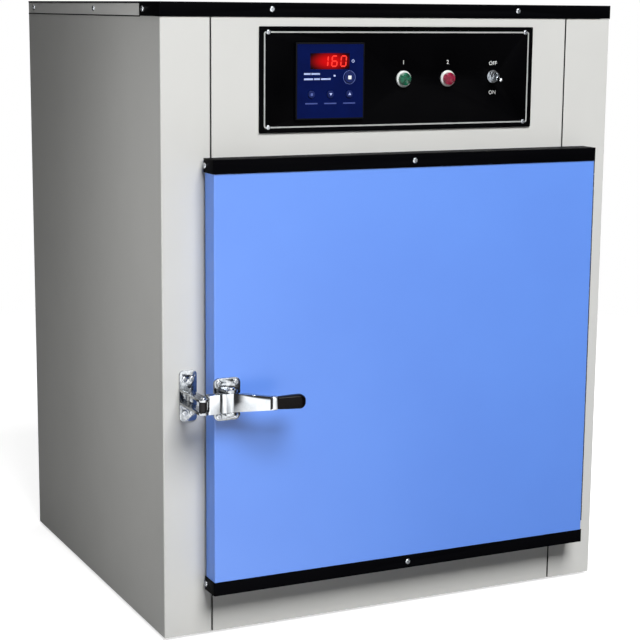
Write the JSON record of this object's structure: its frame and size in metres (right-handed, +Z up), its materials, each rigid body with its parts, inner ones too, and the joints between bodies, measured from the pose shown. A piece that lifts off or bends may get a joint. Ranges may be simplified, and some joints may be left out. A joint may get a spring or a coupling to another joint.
{
  "type": "dry heat sterilizer",
  "caption": "Bench-top hot air sterilizing oven with a side-hung front door, chrome lever latch, control panel over the door, shelves, heaters and circulation fan.",
  "frame": {"origin": "bottom centre of the whole object's box, on the surface that its feet stand on", "axes": "+X right along the front, +Y into the depth (the door faces -Y), +Z up"},
  "size_m": [0.656, 0.6756, 0.806],
  "materials": {
    "grey_paint": "satin stoved paint",
    "shade_paint": "satin stoved paint",
    "black_paint": "satin black powder coat",
    "door_blue": "smooth satin paint",
    "chrome": "polished plate",
    "zinc": "bright zinc plate",
    "stainless": "brushed stainless sheet",
    "heater": "oxidised tube with ceramic ends",
    "glass_wool": "glass wool",
    "rubber": "matt",
    "seal": "silicone",
    "black_plastic": "moulded",
    "face_blue": "film",
    "display": "smoked red window",
    "key_plastic": "moulded",
    "lamp_white": "moulded",
    "green_lens": "clear moulded",
    "red_lens": "clear moulded",
    "aluminium": "as rolled",
    "motor_steel": "black japanned",
    "ceramic": "unglazed steatite"
  },
  "bodies": {
    "cabinet": {"base_pan": "shade_paint", "left_side_panel": "grey_paint", "right_side_panel": "grey_paint", "front_fascia": "grey_paint", "back_panel": "shade_paint", "cover_rim": "grey_paint", "top_cover": "black_paint", "top_front_trim": "black_paint", "cabinet_screws": "zinc", "feet": "rubber", "control_plate": "black_paint", "control_plate_screws": "zinc", "controller_case": "black_plastic", "controller_face": "face_blue", "display_window": "display", "lamp_bezels": "lamp_white", "green_lamp_lens": "green_lens", "red_lamp_lens": "red_lens", "switch_body": "chrome", "control_tray": "aluminium", "power_relay": "black_plastic", "inner_chamber": "stainless", "glass_wool": "glass_wool", "chamber_cradle": "shade_paint", "left_shelf_rack": "stainless", "right_shelf_rack": "stainless", "heater_elements": "heater", "floor_plate": "stainless", "fan_guard": "stainless", "fan_motor": "motor_steel", "temperature_probe": "stainless", "fixed_hinge_leaf": "zinc", "hinge_pin": "zinc", "strike_bracket": "chrome", "strike_pin": "chrome", "vent_collar": "stainless", "mains_gland": "black_plastic", "terminal_block": "ceramic"},
    "door": {"door_shell": "door_blue", "door_inner_panel": "stainless", "door_wool": "glass_wool", "door_gasket": "seal", "door_top_trim": "black_paint", "door_bottom_trim": "black_paint", "door_screws": "zinc", "moving_hinge_leaf": "zinc", "latch_base": "chrome", "latch_pin": "chrome"},
    "latch": {"latch_lever": "chrome", "latch_grip": "black_plastic"},
    "roller": {"strike_roller": "black_plastic"},
    "switch": {"switch_lever": "chrome"},
    "set_button": {"set_key": "key_plastic"},
    "down_button": {"down_key": "key_plastic"},
    "up_button": {"up_key": "key_plastic"},
    "ring_button": {"ring_key": "key_plastic"},
    "shelf_upper": {"upper_shelf": "stainless"},
    "shelf_lower": {"lower_shelf": "stainless"},
    "fan": {"fan_impeller": "aluminium"},
    "shutter": {"vent_shutter": "chrome"}
  },
  "joints": [
    {"name": "door_hinge", "type": "hinge", "parent": "cabinet", "child": "door", "pos_m": [0.28935, -0.25151, 0.34075], "axis": [0, 0, 1], "range_deg": [0, 100]},
    {"name": "latch_turn", "type": "hinge", "parent": "door", "child": "latch", "pos_m": [-0.256, -0.30116, 0.32], "axis": [0, 0, 1], "range_deg": [-40, 0]},
    {"name": "roller_spin", "type": "hinge", "parent": "cabinet", "child": "roller", "pos_m": [-0.297, -0.31226, 0.32], "axis": [0, 0, 1], "continuous": true},
    {"name": "switch_toggle", "type": "hinge", "parent": "cabinet", "child": "switch", "pos_m": [0.1405, -0.25416, 0.71275], "axis": [-1, 0, 0], "range_deg": [0, 28]},
    {"name": "set_press", "type": "slide", "parent": "cabinet", "child": "set_button", "axis": [0, 1, 0], "range_m": [0, 0.0008], "stiffness_N_per_m": 600},
    {"name": "down_press", "type": "slide", "parent": "cabinet", "child": "down_button", "axis": [0, 1, 0], "range_m": [0, 0.0008], "stiffness_N_per_m": 600},
    {"name": "up_press", "type": "slide", "parent": "cabinet", "child": "up_button", "axis": [0, 1, 0], "range_m": [0, 0.0008], "stiffness_N_per_m": 600},
    {"name": "ring_press", "type": "slide", "parent": "cabinet", "child": "ring_button", "axis": [0, 1, 0], "range_m": [0, 0.0008], "stiffness_N_per_m": 600},
    {"name": "upper_shelf_slide", "type": "slide", "parent": "cabinet", "child": "shelf_upper", "axis": [0, -1, 0], "range_m": [0, 0.011]},
    {"name": "lower_shelf_slide", "type": "slide", "parent": "cabinet", "child": "shelf_lower", "axis": [0, -1, 0], "range_m": [0, 0.011]},
    {"name": "fan_spin", "type": "hinge", "parent": "cabinet", "child": "fan", "pos_m": [0, 0.20784, 0.34075], "axis": [0, 1, 0], "continuous": true},
    {"name": "shutter_turn", "type": "hinge", "parent": "cabinet", "child": "shutter", "pos_m": [0, 0.30984, 0.531], "axis": [0, 1, 0], "range_deg": [0, 45]}
  ]
}
